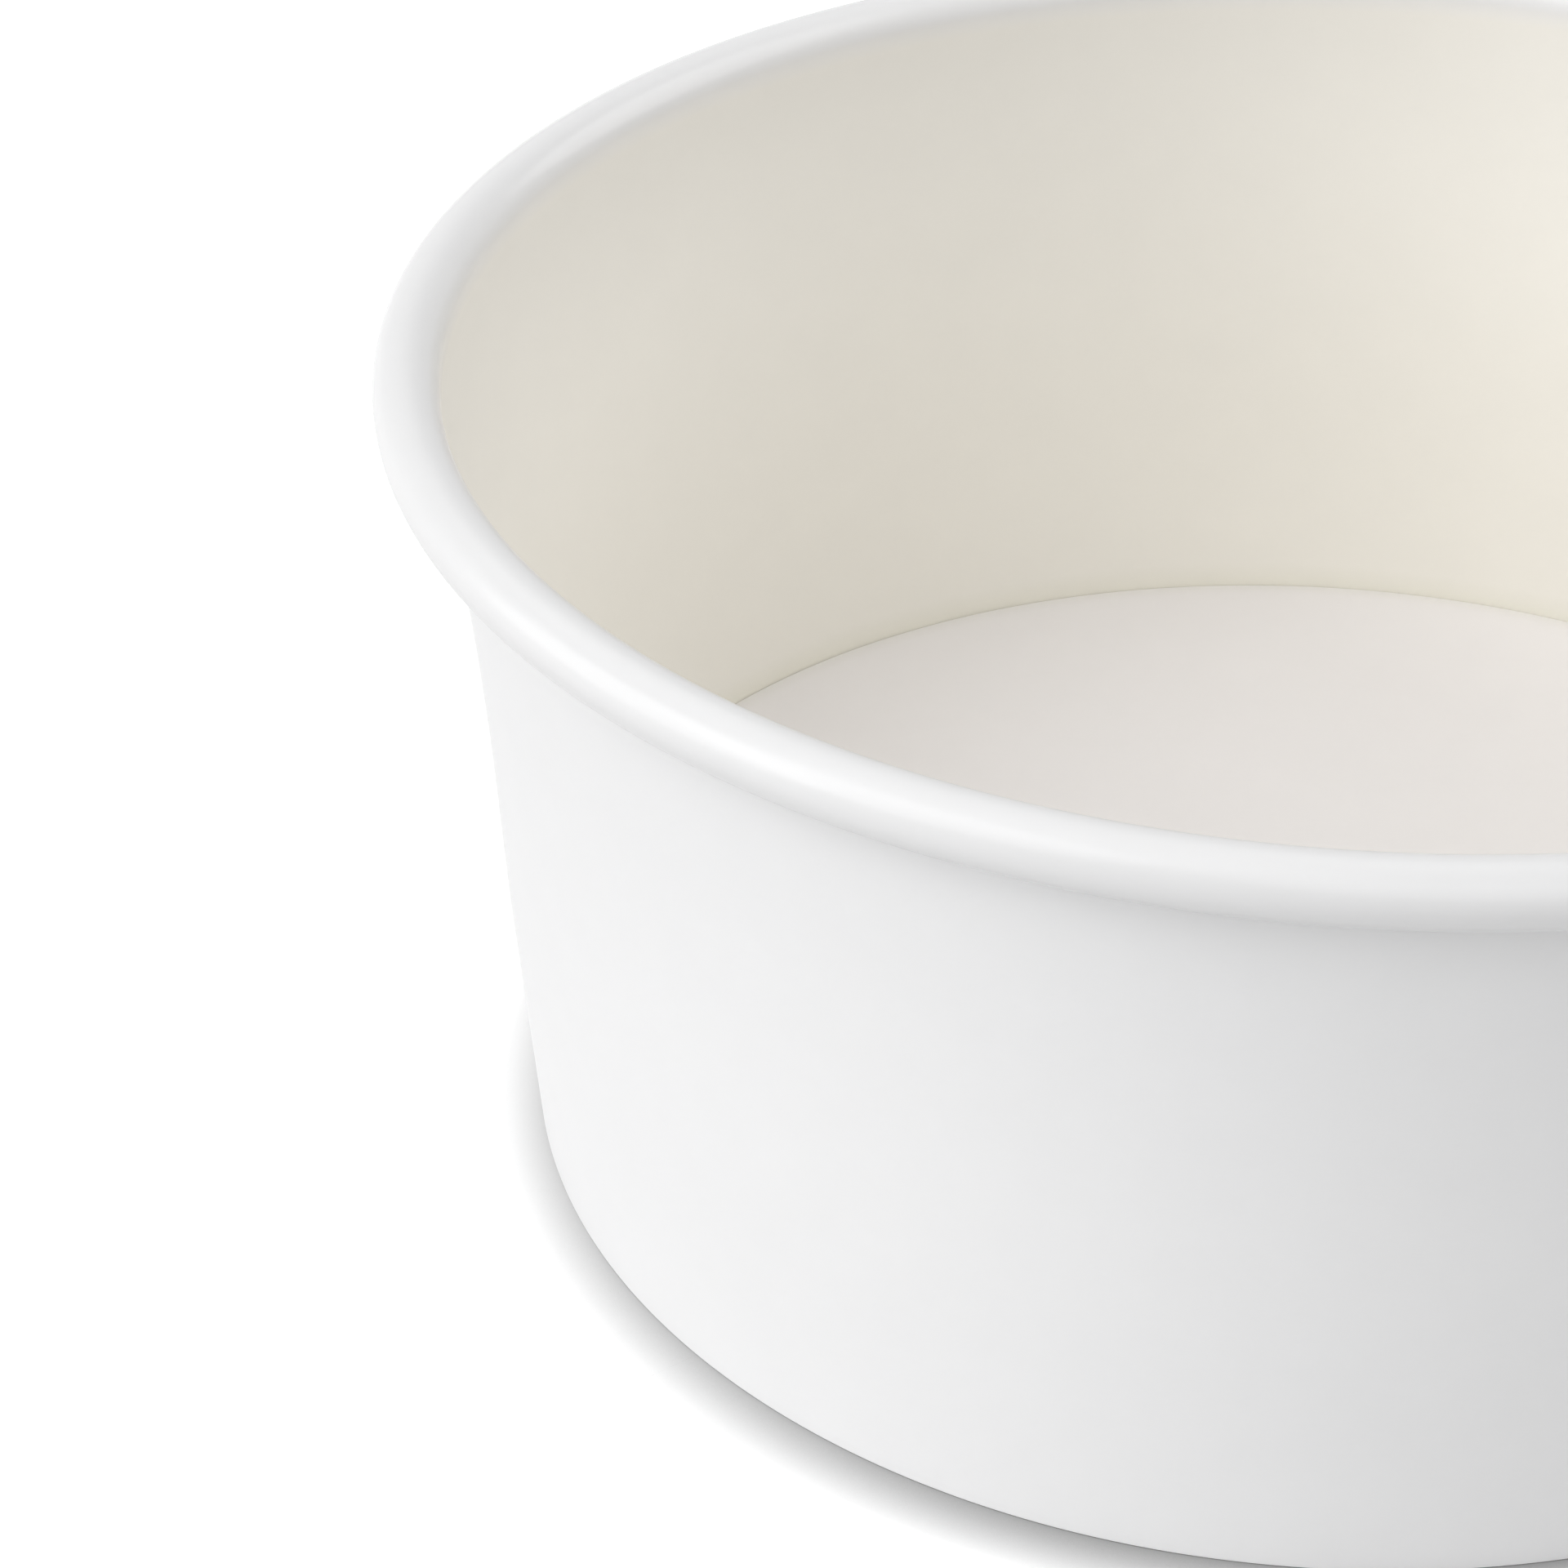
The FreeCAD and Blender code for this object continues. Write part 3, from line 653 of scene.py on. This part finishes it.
def discColour(tree):
    # Painted shade along the floor's edge
    cornerShaded = cornerShadeTone(paper["disc"])
    floor = mixedColour(tree, attributeMask(tree, "cornerShade"), paper["disc"], cornerShaded)
    return mixedColour(tree, attributeMask(tree, "cut"), floor, paper["cutEdge"])


sideWall = makeSideWall()
sideWall.data.materials.append(boardMaterial("wallBoard", wallColour, boardUv, knurled=True))
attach(sideWall, "root")
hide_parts("side_wall")
print("side wall made:", len(sideWall.data.polygons), "faces")

bottomDisc = makeBottomDisc()
bottomDisc.data.materials.append(boardMaterial("discBoard", discColour, objectPlace))
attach(bottomDisc, "root")
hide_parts("bottom_disc")
print("bottom disc made:", len(bottomDisc.data.polygons), "faces")


# Studio

studio = {
    "floorSize": 6.0,
    "floorColour": (0.70, 0.70, 0.70),
    "floorLift": 0.45,  # added where a camera, mirror or glass sees the floor, so that it is white
    "contactReach": 0.0036,  # metres from the cup's foot over which its contact shadow fades
    "contactFrom": (-0.26, 0.66, 0.71),  # the side that the light of the contact shadow comes from
    "contactDepth": 0.96,
    "ambient": 0.04,
}

# Broad lamps round the cup: degrees to the camera's left, degrees above the table, brightness. All are
# as broad as the degrees of lampBreadth.
lampBreadth = 50.0
lamps = {
    "leftLow": (80.0, 15.0, 0.335),
    "leftKey": (50.0, 35.0, 0.355),
    "leftTop": (50.0, 60.0, 0.18),
    "rightFront": (-20.0, 35.0, 0.22),
    "rightBack": (-110.0, 35.0, 0.395),
    "backTop": (150.0, 60.0, 0.135),
}

lens = {
    "place": (0.0, -0.228056, 0.159580),
    "turn": -6.9754,  # degrees to the right of +Y
    "tilt": 32.1944,  # degrees down
    "roll": 0.5299,
    "length": 121.377,  # millimetres
    "sensor": 36.0,
    "nearest": 0.01,  # metres, nearer than which nothing is seen
}


def seenDirectly(tree):
    # 1 for rays from the camera, from a mirror or through glass
    path = addNode(tree, "ShaderNodeLightPath").outputs
    mirrored = maths(tree, "MAXIMUM", path["Is Camera Ray"], path["Is Glossy Ray"])
    return maths(tree, "MAXIMUM", mirrored, path["Is Transmission Ray"])


def makeFloor():
    half = studio["floorSize"] / 2
    mesh = bpy.data.meshes.new("floor")
    corners = [(-half, -half, 0.0), (half, -half, 0.0), (half, half, 0.0), (-half, half, 0.0)]
    mesh.from_pydata(corners, [], [(0, 1, 2, 3)])
    floor = bpy.data.objects.new("floor", mesh)
    bpy.context.scene.collection.objects.link(floor)
    material = bpy.data.materials.new("floorSheet")
    material.use_nodes = True
    tree = material.node_tree
    tree.nodes.remove(tree.nodes["Principled BSDF"])
    side = addNode(tree, "ShaderNodeCombineXYZ", dict(enumerate(studio["contactFrom"]))).outputs["Vector"]
    reach = {"Normal": side, "Distance": studio["contactReach"]}
    contact = addNode(tree, "ShaderNodeAmbientOcclusion", reach).outputs["AO"]

    # Contact shadow: 1 - depth * (share of the light that the cup hides) * (1 where seen directly)
    seen = seenDirectly(tree)
    shade = mixedValue(tree, maths(tree, "MULTIPLY", seen, studio["contactDepth"]), 1.0, contact)
    sheet = {"Color": scaledVector(tree, studio["floorColour"], shade)}
    matt = addNode(tree, "ShaderNodeBsdfDiffuse", sheet).outputs["BSDF"]
    lifted = maths(tree, "MULTIPLY", seen, studio["floorLift"])
    glow = {"Strength": maths(tree, "MULTIPLY", lifted, shade)}
    lift = addNode(tree, "ShaderNodeEmission", glow).outputs["Emission"]
    both = addNode(tree, "ShaderNodeAddShader", {0: matt, 1: lift}).outputs["Shader"]
    tree.links.new(both, tree.nodes["Material Output"].inputs["Surface"])
    mesh.materials.append(material)


def makeWorld():
    # White where seen directly, and dim as a light
    world = bpy.data.worlds.new("studio")
    world.use_nodes = True
    tree = world.node_tree
    level = mixedValue(tree, seenDirectly(tree), studio["ambient"], 1.0)
    setInputs(tree, tree.nodes["Background"], {"Color": (1.0, 1.0, 1.0, 1.0), "Strength": level})
    bpy.context.scene.world = world


def makeLamp(name, leftDegrees, upDegrees, brightness):
    # A sun as wide as a soft box, whose brightness of 1 lights a white face square to it to white.
    # Towards it = (-sin left * cos up, -cos left * cos up, sin up)
    left = math.radians(leftDegrees)
    up = math.radians(upDegrees)
    toLamp = np.array([-math.sin(left) * math.cos(up), -math.cos(left) * math.cos(up), math.sin(up)])
    light = bpy.data.lights.new(name, "SUN")
    light.energy = math.pi * brightness
    light.angle = math.radians(lampBreadth)
    lamp = bpy.data.objects.new(name, light)
    lamp.matrix_world = lookingAlong(-toLamp, toLamp, 0.0)
    bpy.context.scene.collection.objects.link(lamp)


def lookingAlong(forward, place, roll):
    # Right is level and square to forward, up is square to both, and roll turns them about forward
    right = np.cross(forward, (0.0, 0.0, 1.0))
    right = right / np.linalg.norm(right)
    up = np.cross(right, forward)
    turnedRight = math.cos(roll) * right + math.sin(roll) * up
    turnedUp = -math.sin(roll) * right + math.cos(roll) * up
    matrix = np.eye(4)
    matrix[:3, :3] = np.stack([turnedRight, turnedUp, -forward], 1)
    matrix[:3, 3] = place
    return Matrix(matrix.tolist())


def makeCamera():
    # Forward = (sin turn * cos tilt, cos turn * cos tilt, -sin tilt)
    turn = math.radians(lens["turn"])
    tilt = math.radians(lens["tilt"])
    level = math.cos(tilt)
    forward = np.array([math.sin(turn) * level, math.cos(turn) * level, -math.sin(tilt)])
    data = bpy.data.cameras.new("camera")
    data.sensor_width = lens["sensor"]
    data.lens = lens["length"]
    data.clip_start = lens["nearest"]
    camera = bpy.data.objects.new("camera", data)
    camera.matrix_world = lookingAlong(forward, lens["place"], math.radians(lens["roll"]))
    bpy.context.scene.collection.objects.link(camera)
    bpy.context.scene.camera = camera


makeFloor()
makeWorld()
for lampName, lampValues in lamps.items():
    makeLamp(lampName, *lampValues)
makeCamera()
bpy.context.scene.view_settings.view_transform = "Standard"
print("studio made")
